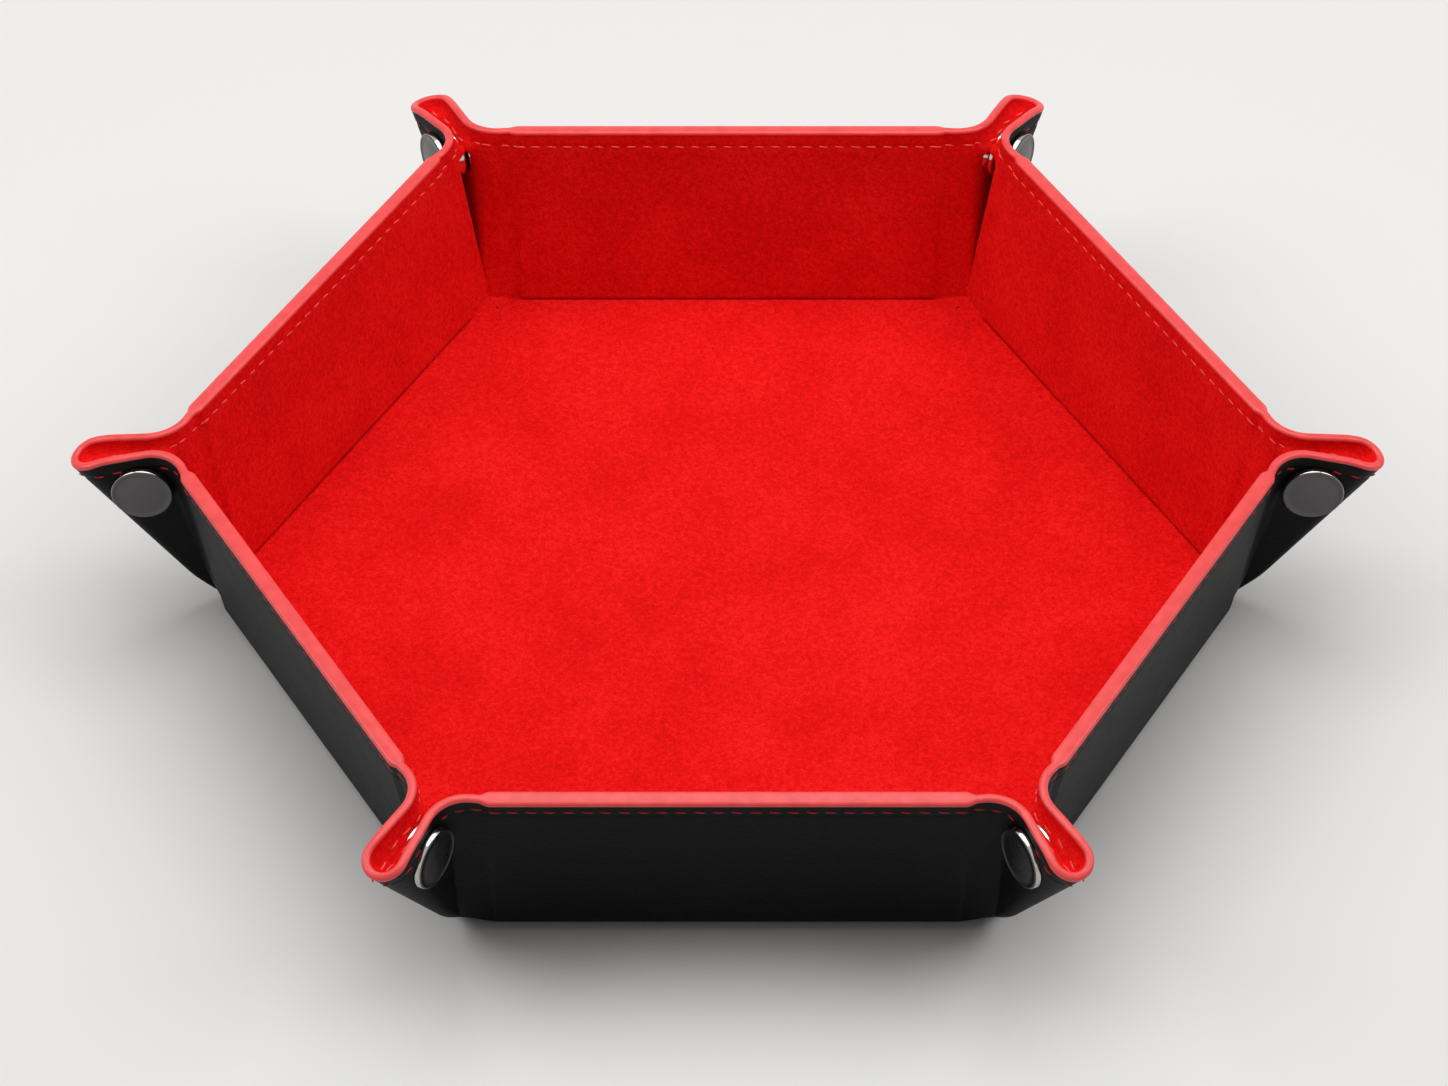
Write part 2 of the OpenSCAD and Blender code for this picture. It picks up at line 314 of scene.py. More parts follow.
def skinLayers(g, s):                     # the lining's face and back, then the cover's back and face
    p, n = middle(g, s), normalAt(g, s)
    dip = stitchDipAt(columnOf(g)[2], s)
    inner = halfThick(g, s, skin["liningParts"]) - dip
    outer = halfThick(g, s, skin["coverParts"]) - dip
    layers = [p + n * (inner + puffAt(g, s)), p + n * (inner - tray["liningT"]),
              p - n * (outer - tray["coverT"]), p - n * outer]
    if g < 0:                             # the two sides of an ear come close, but don't cross
        for layer in layers[:2]:
            layer[1] = max(layer[1], skin["closest"])
    return layers


def upRows(length):
    low = [0.0, 0.25, 0.5, 0.75, 1.0, 1.25, 1.5, 1.75, 2.1, 2.6, 3.2, 4.0, 5.0, 6.5, 8.5]
    top = [8.0, 6.4, 5.3, 4.8, 4.4, 4.1, 3.9, 3.7, 3.5, 3.3, 3.0, 2.6, 2.0, 1.4, skin["rimDown"]]
    between = list(np.linspace(8.5, length - 8.0, 12))[1:-1]
    return low + between + [length - d for d in top]


floorRows = [-4.0, -3.4, -2.9, -2.5, -2.1, -1.75, -1.5, -1.25, -1.0, -0.75, -0.5, -0.25]


def skinGrids(gs, onFloor=False):
    low = floorRows if onFloor else []
    columns = [[skinLayers(g, v) for v in low + upRows(columnOf(g)[2])] for g in gs]
    return np.array(columns).transpose(2, 0, 1, 3)


def turned(points, k, mirrored=False):    # to corner k of the tray, left and right swapped first
    out = np.array(points, float)
    if mirrored:
        out[..., 1] *= -1
    a = 2 * halfCorner * k
    out[..., :2] = out[..., :2] @ np.array([[cos(a), sin(a)], [-sin(a), cos(a)]])
    return out


def acrossWall(points):                   # the mirror image across the middle of a corner's left wall
    return turned(points, 1, True)


def meshObject(name, verts, faces, material, smooth=True):
    mesh = bpy.data.meshes.new(name)
    mesh.from_pydata([tuple(v) for v in np.asarray(verts) * mm], [], faces)
    bm = bmesh.new()
    bm.from_mesh(mesh)
    bmesh.ops.remove_doubles(bm, verts=bm.verts, dist=2e-6)
    bmesh.ops.dissolve_degenerate(bm, edges=bm.edges, dist=1e-6)
    if bm.calc_volume(signed=True) < 0:
        bmesh.ops.reverse_faces(bm, faces=bm.faces)
    bm.to_mesh(mesh)
    bm.free()
    for polygon in mesh.polygons:
        polygon.use_smooth = smooth
    mesh.materials.append(material)
    obj = bpy.data.objects.new(name, mesh)
    scene.collection.objects.link(obj)
    return obj


def bandFaces(first, rings, turns):       # between each ring of points and the next
    return [[first + i * turns + j, first + i * turns + (j + 1) % turns,
             first + (i + 1) * turns + (j + 1) % turns, first + (i + 1) * turns + j]
            for i in range(rings - 1) for j in range(turns)]


def shellFaces(columns, rows):            # a closed shell between a front grid and a back grid
    def at(layer, i, j):
        return (layer * columns + i) * rows + j

    faces = []
    for i in range(columns - 1):
        for j in range(rows - 1):
            front = [at(0, i, j), at(0, i + 1, j), at(0, i + 1, j + 1), at(0, i, j + 1)]
            back = [at(1, i, j), at(1, i, j + 1), at(1, i + 1, j + 1), at(1, i + 1, j)]
            faces += [front[::-1], back[::-1]]
    for i in range(columns - 1):
        faces.append([at(0, i, 0), at(0, i + 1, 0), at(1, i + 1, 0), at(1, i, 0)])
        faces.append([at(0, i + 1, rows - 1), at(0, i, rows - 1), at(1, i, rows - 1), at(1, i + 1, rows - 1)])
    for j in range(rows - 1):
        faces.append([at(0, 0, j + 1), at(0, 0, j), at(1, 0, j), at(1, 0, j + 1)])
        faces.append([at(0, columns - 1, j), at(0, columns - 1, j + 1),
                      at(1, columns - 1, j + 1), at(1, columns - 1, j)])
    return faces


def keepEdges(obj, angle=40):             # sharp where faces meet at more than this
    obj.data.set_sharp_from_angle(angle=radians(angle))
    return obj


def shell(name, front, back, material):
    columns, rows = front.shape[:2]
    verts = np.concatenate([front.reshape(-1, 3), back.reshape(-1, 3)])
    return keepEdges(meshObject(name, verts, shellFaces(columns, rows), material))


# Materials

def linear(hexColour):                    # an sRGB hex colour as Blender's linear one
    parts = [int(hexColour[i:i + 2], 16) / 255 for i in (1, 3, 5)]
    return tuple(c / 12.92 if c <= 0.04045 else ((c + 0.055) / 1.055) ** 2.4 for c in parts) + (1.0,)


# Adds a node, sets its inputs or links them, and gives a colour ramp its stops. A node among the inputs
# stands for its first output.
def addNode(tree, kind, inputs=None, stops=(), **settings):
    node = tree.nodes.new(kind)
    for name, value in settings.items():
        setattr(node, name, value)
    for key, value in (inputs or {}).items():
        if isinstance(value, bpy.types.Node):
            value = value.outputs[0]
        if isinstance(value, bpy.types.NodeSocket):
            tree.links.new(value, node.inputs[key])
        else:
            node.inputs[key].default_value = value
    for i, (at, hexColour) in enumerate(stops):
        stop = node.color_ramp.elements[i] if i < 2 else node.color_ramp.elements.new(at)
        stop.position = at
        stop.color = linear(hexColour)
    return node


def newMaterial(name):
    material = bpy.data.materials.new(name)
    material.use_nodes = True
    material.node_tree.nodes.clear()
    place = addNode(material.node_tree, "ShaderNodeTexCoord").outputs["Object"]
    return material, material.node_tree, place


def perMm(size):                          # a texture's scale, for features of this many millimetres
    return 1 / (size * mm)


# Ends a material: the height's relief is this many millimetres deep, and the inputs are the surface's own
def finishMaterial(tree, height, depth, strength, inputs):
    relief = {"Height": height, "Distance": depth * mm, "Strength": strength}
    bump = addNode(tree, "ShaderNodeBump", relief)
    surface = addNode(tree, "ShaderNodeBsdfPrincipled", {**inputs, "Normal": bump})
    addNode(tree, "ShaderNodeOutputMaterial", {0: surface})


suede = {"deep": "#cd080a", "colour": "#e20f10", "light": "#ef1f1d", "sheen": "#ff3a30",
         "cloud": 22.0, "nap": 1.1, "fibre": 0.45}         # the textures' sizes in millimetres


# Microsuede, a brushed polyester knit: its short nap scatters light, so it looks matt, and cloudy
# where the nap lies one way or the other. A real fibre is too fine to show, so it is drawn coarser.
def makeSuede():
    material, tree, place = newMaterial("microsuede")
    clouds = addNode(tree, "ShaderNodeTexNoise", {"Vector": place, "Scale": perMm(suede["cloud"]),
                                                  "Detail": 3.0, "Roughness": 0.6})
    nap = addNode(tree, "ShaderNodeTexNoise", {"Vector": place, "Scale": perMm(suede["nap"]),
                                               "Roughness": 0.6})
    fibre = addNode(tree, "ShaderNodeTexNoise", {"Vector": place, "Scale": perMm(suede["fibre"]),
                                                 "Detail": 1.0})
    grain = addNode(tree, "ShaderNodeMix", {0: 0.5, 2: nap, 3: fibre})
    both = addNode(tree, "ShaderNodeMix", {0: 0.72, 2: clouds, 3: grain})
    colour = addNode(tree, "ShaderNodeValToRGB", {0: both},
                     stops=[(0.38, suede["deep"]), (0.62, suede["light"]), (0.50, suede["colour"])])
    finishMaterial(tree, grain, 0.10, 0.6, {
        "Base Color": colour, "Roughness": 0.92, "Specular IOR Level": 0.10,
        "Sheen Weight": 0.12, "Sheen Roughness": 0.45, "Sheen Tint": linear(suede["sheen"])})
    return material


leather = {"colour": "#060607", "worn": "#0d0d0f", "grain": 0.75, "crinkle": 5.0}


# PU leather, a polyurethane film embossed with a fine grain and left semi-gloss
def makeLeather():
    material, tree, place = newMaterial("pu_leather")
    grain = addNode(tree, "ShaderNodeTexVoronoi", {"Vector": place, "Scale": perMm(leather["grain"])},
                    feature="SMOOTH_F1")
    crinkle = addNode(tree, "ShaderNodeTexNoise", {"Vector": place, "Scale": perMm(leather["crinkle"]),
                                                   "Detail": 4.0, "Roughness": 0.6})
    height = addNode(tree, "ShaderNodeMix", {0: 0.4, 2: grain.outputs["Distance"], 3: crinkle})
    colour = addNode(tree, "ShaderNodeValToRGB", {0: crinkle},
                     stops=[(0.35, leather["colour"]), (0.75, leather["worn"])])
    gloss = addNode(tree, "ShaderNodeMapRange", {0: crinkle, 3: 0.44, 4: 0.58})
    finishMaterial(tree, height, 0.12, 0.8, {
        "Base Color": colour, "Roughness": gloss, "Specular IOR Level": 0.09})
    return material


edge = {"colour": "#f04a49", "deep": "#e63f3f", "ripple": 3.0}


# Edge paint, coats of acrylic laid on by hand: glossy and slightly rippled
def makeEdgePaint():
    material, tree, place = newMaterial("edge_paint")
    ripple = addNode(tree, "ShaderNodeTexNoise", {"Vector": place, "Scale": perMm(edge["ripple"])})
    colour = addNode(tree, "ShaderNodeValToRGB", {0: ripple},
                     stops=[(0.35, edge["deep"]), (0.65, edge["colour"])])
    finishMaterial(tree, ripple, 0.15, 0.25, {
        "Base Color": colour, "Roughness": 0.40, "Specular IOR Level": 0.30,
        "Coat Weight": 0.30, "Coat Roughness": 0.12})
    return material


# Bonded polyester thread: fine plies with a low gloss. One red thread is made twice: a lighter copy on the
# lining is painted light, and a darker copy on the cover is painted shade.
def makeThread(name, deep, light):
    material, tree, place = newMaterial(name)
    ply = addNode(tree, "ShaderNodeTexNoise", {"Vector": place, "Scale": perMm(0.35), "Detail": 1.0})
    colour = addNode(tree, "ShaderNodeValToRGB", {0: ply}, stops=[(0.35, deep), (0.65, light)])
    finishMaterial(tree, ply, 0.08, 0.6, {
        "Base Color": colour, "Roughness": 0.6, "Specular IOR Level": 0.25})
    return material


# Nickel plate on pressed brass. A cap's one plate is made twice: a dark satin copy on its face is a painted
# dark reflection, and a light, smoother copy on its rolled rim is a painted highlight.
def makeNickel(name, colour, smoothest, roughest):
    material, tree, place = newMaterial(name)
    blemish = addNode(tree, "ShaderNodeTexNoise", {"Vector": place, "Scale": perMm(2.0), "Detail": 4.0})
    gloss = addNode(tree, "ShaderNodeMapRange", {0: blemish, 3: smoothest, 4: roughest})
    fine = addNode(tree, "ShaderNodeTexNoise", {"Vector": place, "Scale": perMm(0.5)})
    finishMaterial(tree, fine, 0.01, 0.3, {
        "Base Color": linear(colour), "Metallic": 1.0, "Roughness": gloss})
    return material


# Greyboard, pressed paper fibre: dull and flecked
def makeBoard():
    material, tree, place = newMaterial("greyboard")
    flecks = addNode(tree, "ShaderNodeTexNoise", {"Vector": place, "Scale": perMm(1.2), "Detail": 3.0})
    colour = addNode(tree, "ShaderNodeValToRGB", {0: flecks},
                     stops=[(0.35, "#85796a"), (0.65, "#a5988a")])
    finishMaterial(tree, flecks, 0.05, 0.5, {
        "Base Color": colour, "Roughness": 0.9, "Specular IOR Level": 0.2})
    return material


suedeMaterial = makeSuede()
leatherMaterial = makeLeather()
edgeMaterial = makeEdgePaint()
# the same red thread twice: lighter with painted light on the lining's side, darker with painted shade on the
# cover's side
threadPaintedLit = makeThread("thread_painted_lit_on_lining", "#f2403c", "#ff7068")
threadPaintedShade = makeThread("thread_painted_shade_on_cover", "#a0101a", "#cc222b")
# a cap's face: the plate darkened as a painted dark reflection
capFacePaintedDark = makeNickel("nickel_painted_dark_reflection", "#575556", 0.24, 0.33)
# a cap's rolled rim: the plate lightened as a painted highlight
capRimPaintedHighlight = makeNickel("nickel_painted_highlight", "#b4b0ad", 0.06, 0.12)
brightMaterial = makeNickel("bright_nickel", "#c8c4be", 0.09, 0.18)
boardMaterial = makeBoard()
print("materials made")


# The floor's skins
floor = {
    "rings": 16,
    "crowd": 2.2,                         # more brings the rings closer together at the creases
    "perSide": 28,
    "tuckIn": 5.0,                        # from a corner in to the fold of cover tucked under
    "tuckLong": 2.7,                      # the gather, then half the fold's length
    "tuckWide": 2.0,                      # and width
    "tuckUpper": (1.6, 0.5, 2),           # height of its upper face in the middle and at the edge,
    "tuckLower": (0.05, 0.3, 8),          # and how late it goes from one to the other
}


def floorMiddle(x, y):                    # the middle of the floor's skins, and half their thickness
    k = round(atan2(y, x) / (2 * halfCorner))
    here = turned((x, y, hingeZ), -k)
    beside = ease((np.linalg.norm(here - corner) - skin["floorCorner"]) / skin["floorTaper"])
    return turned(liftNear(here), k), mix(tray["skinsT"] / 2, tray["boardT"] / 2, beside)


def wound(faces, up):                     # bandFaces' faces look down if the rings grow outwards
    faces = [face[:1] + face[:0:-1] for face in faces]
    return faces if up else [face[::-1] for face in faces]


def cornerTuck(k, first):                 # a closed lens
    rings, turns = 5, 20
    verts = []
    for middleZ, edgeZ, power in (floor["tuckUpper"], floor["tuckLower"]):
        verts.append((cornerX - floor["tuckIn"], 0.0, middleZ))
        for i in range(1, rings + 1):
            for j in range(turns):
                b, v = 2 * pi * j / turns, i / rings
                verts.append((cornerX - floor["tuckIn"] + floor["tuckLong"] * v * cos(b),
                              floor["tuckWide"] * v * sin(b), mix(middleZ, edgeZ, v ** power)))
    half = len(verts) // 2
    faces = []
    for layer in (0, 1):
        o = first + layer * half
        fan = [[o, o + 1 + (j + 1) % turns, o + 1 + j] for j in range(turns)]
        faces += wound(fan + bandFaces(o + 1, rings, turns), layer == 0)
    last = first + 1 + (rings - 1) * turns
    for j in range(turns):
        j2 = (j + 1) % turns
        faces.append([last + j, last + j + half, last + j2 + half, last + j2])
    return list(turned(verts, k)), faces


def floorSkin(name, side, thick, material):
    n, m = floor["perSide"], floor["rings"]
    reach = (tray["creaseApothem"] - skin["floorStrip"]) / cos(halfCorner)
    corners = [turned((reach, 0.0), k) for k in range(7)]
    shares = [1 - (1 - i / m) ** floor["crowd"] for i in range(1, m + 1)]
    spacing = [0.5 - 0.5 * cos(pi * i / n) for i in range(n)]    # closer together at the corners
    loop = [mix(corners[k], corners[k + 1], v) for k in range(6) for v in spacing]
    places = [at * share for share in shares for at in loop] + [(0.0, 0.0)]
    middles = [floorMiddle(*at) for at in places]
    verts = [p + np.array([0, 0, side * (half - depth)]) for depth in (0.0, thick) for p, half in middles]
    count, around = len(middles), len(loop)
    faces = []
    for layer in (0, 1):
        o = layer * count
        fan = [[o + count - 1, o + (j + 1) % around, o + j] for j in range(around)]
        faces += wound(bandFaces(o, m, around) + fan, (side > 0) == (layer == 0))
    last = (m - 1) * around
    for j in range(around):
        j2 = (j + 1) % around
        face = [last + j, count + last + j, count + last + j2, last + j2]
        faces.append(face if side > 0 else face[::-1])
    for k in range(6 if side < 0 else 0):
        tuckVerts, tuckFaces = cornerTuck(k, len(verts))
        verts += tuckVerts
        faces += tuckFaces
    return keepEdges(meshObject(name, verts, faces, material))


for name, side, thick, material, node, slot in (
        ("lining_floor", 1, tray["liningT"], suedeMaterial, "base_lining", "suede_lining"),
        ("cover_floor", -1, tray["coverT"], leatherMaterial, "base_cover", "leather_cover")):
    floorPiece = floorSkin(name, side, thick, material)
    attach(floorPiece, "base")
    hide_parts(node)
print("floor made")


# Walls and ears. Lengths are along the rim, from the end of a wall's board.
def stationAt(length):                    # the g of a place at this length round the ear's rim
    lo, hi = 0.0, 6.0
    for _ in range(40):
        mid = (lo + hi) / 2
        lo, hi = (mid, hi) if rimPlan.lengthTo(mid) < length else (lo, mid)
    return -lo


wallTo = tray["softLen"] * rimLen / cutLen        # where a wall's piece ends, with its foot at the corner
sideTo = rimPlan.lengthTo(3.5)            # and where the side of an ear gives way to its end
wallLengths = [wallTo, wallTo - 0.15, 6.4, 5.5, 4.6, 3.8, 3.1, 2.5, 2.0, 1.7, 1.4, 1.1, 0.8, 0.5, 0.25, 0.0]
wallShares = [0.02, 0.05, 0.1, 0.16, 0.24, 0.33, 0.43, 0.54, 0.66, 0.77, 0.89, 1.0]
wallStations = [stationAt(v) for v in wallLengths] + wallShares
sideLengths = [sideTo, sideTo - 0.15] + list(np.linspace(sideTo, wallTo, 17))[1:-1] + [wallTo + 0.15, wallTo]
sideStations = [stationAt(v) for v in sideLengths]
endLengths = list(np.linspace(rimLen, sideTo, 17))[1:-1] + [sideTo + 0.15, sideTo]
endStations = [-6.0] + [stationAt(v) for v in endLengths]

bead = {
    "proud": 0.08,                        # how far the paint stands out over the skins
    "crown": 0.85,                        # height of its rounded top on a wall
    "earCrown": 0.75,
    "down": 1.15,                         # its foot below the rim, between the skins
    "wallSquare": 3.4,                    # power of its section: 2 is round
    "earSquare": 2.3,
}


def beadLoop(g):                          # a cross-section of the edge paint
    length = columnOf(g)[2]
    top, below = middle(g, length), middle(g, length - 2.0)
    up = (top - below) / np.linalg.norm(top - below)
    across = normalAt(g, length - 1.0)
    half = halfThick(g, length, skin["coverParts"])
    wide = min(1.0, max(0.0, (2 * half - tray["skinsT"]) / (tray["boardT"] - tray["skinsT"])))
    power = 2 / mix(bead["earSquare"], bead["wallSquare"], wide)
    crown = mix(bead["earCrown"], bead["crown"], wide)
    points = []
    for i in range(13):
        a = pi * i / 12
        x = (half + bead["proud"]) * np.sign(cos(a)) * abs(cos(a)) ** power
        points.append(top + across * x + up * crown * (abs(sin(a)) ** power - 1))
    for x in (-1, 1):
        points.append(top + across * x * (half - 0.2) - up * bead["down"])
    if g < 0:
        for p in points:
            p[1] = max(p[1], skin["closest"])
    return points


def tube(name, loops, material):          # a closed tube through loops of points
    n = len(loops[0])
    last = (len(loops) - 1) * n
    faces = bandFaces(0, len(loops), n) + [list(range(n))[::-1], [last + j for j in range(n)]]
    return keepEdges(meshObject(name, np.array(loops).reshape(-1, 3), faces, material), 50)


stitch = {
    "pitch": 3.4,
    "length": 2.7,
    "width": 0.40,
    "height": 0.36,
    "slant": 0.09,                        # sideways share of each stitch's direction
    "dive": 0.22,                         # how far its ends go down into the skin
    "wobble": 0.05,
    "tight": 0.98,                        # the pitch's share that fits a whole count in a bent seam
}


# A lockstitched seam: a bar of thread at each pitch along the seam's path, its ends diving into the skin
def makeStitchTree():
    tree = bpy.data.node_groups.new("lockstitch", "GeometryNodeTree")
    tree.interface.new_socket("Seam", in_out="INPUT", socket_type="NodeSocketGeometry")
    for name in ("Pitch", "Length", "Width", "Height", "Slant", "Dive", "Wobble"):
        tree.interface.new_socket(name, in_out="INPUT", socket_type="NodeSocketFloat")
    tree.interface.new_socket("Thread", in_out="INPUT", socket_type="NodeSocketMaterial")
    tree.interface.new_socket("Stitches", in_out="OUTPUT", socket_type="NodeSocketGeometry")
    given = addNode(tree, "NodeGroupInput").outputs

    ball = addNode(tree, "GeometryNodeMeshUVSphere", {"Segments": 8, "Rings": 8, "Radius": 1.0})
    place = addNode(tree, "ShaderNodeSeparateXYZ", {0: addNode(tree, "GeometryNodeInputPosition")})
    size = addNode(tree, "ShaderNodeMath", {0: place.outputs["Z"]}, operation="ABSOLUTE")
    blunt = addNode(tree, "ShaderNodeMath", {0: size, 1: 0.65}, operation="POWER")
    way = addNode(tree, "ShaderNodeMath", {0: place.outputs["Z"]}, operation="SIGN")
    run = addNode(tree, "ShaderNodeMath", {0: blunt, 1: way}, operation="MULTIPLY")
    square = addNode(tree, "ShaderNodeMath", {0: run, 1: run}, operation="MULTIPLY")
    down = addNode(tree, "ShaderNodeMath", {0: square, 1: given["Dive"]}, operation="MULTIPLY")
    half = [addNode(tree, "ShaderNodeMath", {0: given[name], 1: 0.5}, operation="MULTIPLY")
            for name in ("Width", "Height", "Length")]
    across = addNode(tree, "ShaderNodeMath", {0: place.outputs["X"], 1: half[0]}, operation="MULTIPLY")
    up = addNode(tree, "ShaderNodeMath", {0: place.outputs["Y"], 1: half[1]}, operation="MULTIPLY")
    raised = addNode(tree, "ShaderNodeMath", {0: up, 1: down}, operation="SUBTRACT")
    long = addNode(tree, "ShaderNodeMath", {0: run, 1: half[2]}, operation="MULTIPLY")
    shaped = addNode(tree, "ShaderNodeCombineXYZ", {0: across, 1: raised, 2: long})
    bar = addNode(tree, "GeometryNodeSetPosition", {0: ball, "Position": shaped})

    curve = addNode(tree, "GeometryNodeMeshToCurve", {0: given["Seam"]})
    even = addNode(tree, "GeometryNodeResampleCurve", {"Curve": curve, "Length": given["Pitch"]},
                   mode="LENGTH")
    tangent = addNode(tree, "GeometryNodeInputTangent")
    out = addNode(tree, "GeometryNodeInputNamedAttribute", {0: "faceOut"}, data_type="FLOAT_VECTOR")
    side = addNode(tree, "ShaderNodeVectorMath", {0: tangent, 1: out}, operation="CROSS_PRODUCT")
    least = addNode(tree, "ShaderNodeMath", {0: given["Slant"], 1: given["Wobble"]}, operation="SUBTRACT")
    most = addNode(tree, "ShaderNodeMath", {0: given["Slant"], 1: given["Wobble"]}, operation="ADD")
    lean = addNode(tree, "FunctionNodeRandomValue", {"Min": least, "Max": most, "Seed": 3},
                   data_type="FLOAT")
    leaning = addNode(tree, "ShaderNodeVectorMath", {0: side, "Scale": lean.outputs["Value"]},
                      operation="SCALE")
    aim = addNode(tree, "ShaderNodeVectorMath", {0: tangent, 1: leaning}, operation="ADD")
    turn = addNode(tree, "FunctionNodeAxesToRotation",
                   {"Primary Axis": aim, "Secondary Axis": out},
                   primary_axis="Z", secondary_axis="Y")
    rows = addNode(tree, "GeometryNodeInstanceOnPoints",
                   {"Points": even, "Instance": bar, "Rotation": turn})
    real = addNode(tree, "GeometryNodeRealizeInstances", {0: rows})
    smooth = addNode(tree, "GeometryNodeSetShadeSmooth", {0: real})
    threaded = addNode(tree, "GeometryNodeSetMaterial", {0: smooth, "Material": given["Thread"]})
    addNode(tree, "NodeGroupOutput", {0: threaded})
    return tree


stitchTree = makeStitchTree()


def seamPath(lengthFrom, lengthTo, side):         # along the rim, 0 at a board's end, more round the ear
    steps = max(3, int(abs(lengthTo - lengthFrom) / 0.4))
    points, outs = [], []
    for v in np.linspace(lengthFrom, lengthTo, steps + 1):
        g = stationAt(v) if v > 0 else -v / (sideHalf - tray["softLen"])
        down = skin["stitchDown"]
        if side < 0:
            down = mix(skin["stitchDownOut"], down, ease(v / wallTo))
        s = columnOf(g)[2] - down
        p = skinLayers(g, s)[0 if side > 0 else 3]
        n = normalAt(g, s) * side
        points.append(p)
        outs.append(p + n)
    return np.array([points, outs])


# Sews along a path of points on the skin, given with the same points a millimetre off it
def sew(name, seam, pitch, thread):
    points, tips = seam
    mesh = bpy.data.meshes.new(name + "_path")
    mesh.from_pydata([tuple(p) for p in points * mm], [(i, i + 1) for i in range(len(points) - 1)], [])
    attribute = mesh.attributes.new("faceOut", "FLOAT_VECTOR", "POINT")
    attribute.data.foreach_set("vector", np.array(tips - points, np.float32).ravel())
    path = bpy.data.objects.new(name + "_path", mesh)
    scene.collection.objects.link(path)
    sewing = path.modifiers.new("seam", "NODES")
    sewing.node_group = stitchTree
    given = {"Pitch": pitch * stitch["tight"] * mm, "Thread": thread,
             "Slant": stitch["slant"], "Wobble": stitch["wobble"]}
    given.update({key: stitch[key.lower()] * mm for key in ("Length", "Width", "Height", "Dive")})
    for item in stitchTree.interface.items_tree:
        if item.in_out == "INPUT" and item.name in given:
            sewing[item.identifier] = given[item.name]
    evaluated = path.evaluated_get(bpy.context.evaluated_depsgraph_get())
    sewn = bpy.data.meshes.new_from_object(evaluated)
    sewn.name = name
    obj = bpy.data.objects.new(name, sewn)
    scene.collection.objects.link(obj)
    bpy.data.objects.remove(path)
    bpy.data.meshes.remove(mesh)
    return obj


# From before to after a joint's axis, square to it, as offsets in metres
def bendZone(axis, towards, before, after):
    across = towards - np.array(axis) * (towards @ np.array(axis))
    across *= mm / np.linalg.norm(across)
    return -across * before, across * after


ride = {                                  # ride = { # lengths in millimetres that bendZone is given, for a joint
    "wall": 2.8,                          # either side of a crease
    "side": (1.5, 2.2),                   # before and after the bend of an ear
    "end": (2.4, 2.4),                    # and its fold,
    "level": 20,                          # whose direction is taken this far up the ear
}


def dress(name, grids, loops, seams, pitch):
    pieces = {
        "lining": shell(name + "_suede", grids[0], grids[1], suedeMaterial),
        "cover": shell(name + "_leather", grids[3], grids[2], leatherMaterial),
        "edge": tube(name + "_edge", loops, edgeMaterial),
        "inside": sew(name + "_stitches_inside", seams[0], pitch, threadPaintedLit),
        "outside": sew(name + "_stitches_outside", seams[1], pitch, threadPaintedShade),
    }
    return pieces


wallGrids = skinGrids(wallStations, onFloor=True)
wallLoops = [beadLoop(g) for g in wallStations]
wallRun = sideHalf - tray["softLen"]
wallCount = round(2 * (wallRun + wallTo) / stitch["pitch"])
wallPitch = 2 * (wallRun + wallTo) / wallCount
earParts = []
for part, stations, lengthFrom, lengthTo in (("side", sideStations, wallTo, sideTo),
                                             ("end", endStations, sideTo, rimLen)):
    count = round((lengthTo - lengthFrom) / stitch["pitch"])
    pitch = (lengthTo - lengthFrom) / count
    seams = [seamPath(lengthFrom + pitch / 2, lengthTo - pitch / 2, side) for side in (1, -1)]
    cut = (lengthTo - lengthFrom, columnOf(stations[len(stations) // 2])[2])
    earParts.append((part, skinGrids(stations), np.array([beadLoop(g) for g in stations]), seams, pitch, cut))
wallSeams = [seamPath(wallTo - wallPitch / 2, -wallRun, side) for side in (1, -1)]


def wholeWall(half):                      # half a wall's columns and their mirror images
    return np.concatenate([np.array(half), acrossWall(np.array(half)[:-1])[::-1]])


def layWall(k):
    body = wallNames[k] + "_wall"
    grids = [turned(wholeWall(grid), k) for grid in wallGrids]
    seams = [[turned(wholeWall(row), k) for row in half] for half in wallSeams]
    pieces = dress(body, grids, turned(wholeWall(wallLoops), k), seams, wallPitch)
    for key in ("edge", "inside", "outside"):
        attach(pieces[key], body)
    for key, grid in (("lining", grids[0]), ("cover", grids[3])):
        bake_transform(pieces[key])
        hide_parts(f"{body}_{key}")


def layEar(k, left):
    name = earNames[k] + ("_ear_left" if left else "_ear_right")
    wall = wallNames[k if left else (k - 1) % 6] + "_wall"
    place = lambda points: turned(points, k, not left)
    cornerAt = turned(corner, k) * mm
    for part, grids, loops, seams, pitch, cut in earParts:
        bodyFrom, joint, stations, node = {
            "side": (wall, "_bend", (-1.6, -3.2), "_flank"),
            "end": (name + "_side", "_fold", (-4.0, -5.8), "_tip"),
        }[part]
        grids = place(grids)
        pieces = dress(f"{name}_{part}", grids, place(loops), [place(seam) for seam in seams], pitch)
        way = place(middle(stations[1], ride["level"]) - middle(stations[0], ride["level"]))
        first, last = bendZone(joints[name + joint]["axis"], way, *ride[part])
        for piece in pieces.values():
            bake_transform(piece)
        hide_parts(name + node)


for k in range(6):
    layWall(k)
print("walls made")
for k in range(6):
    layEar(k, True)
    layEar(k, False)
print("ears made")


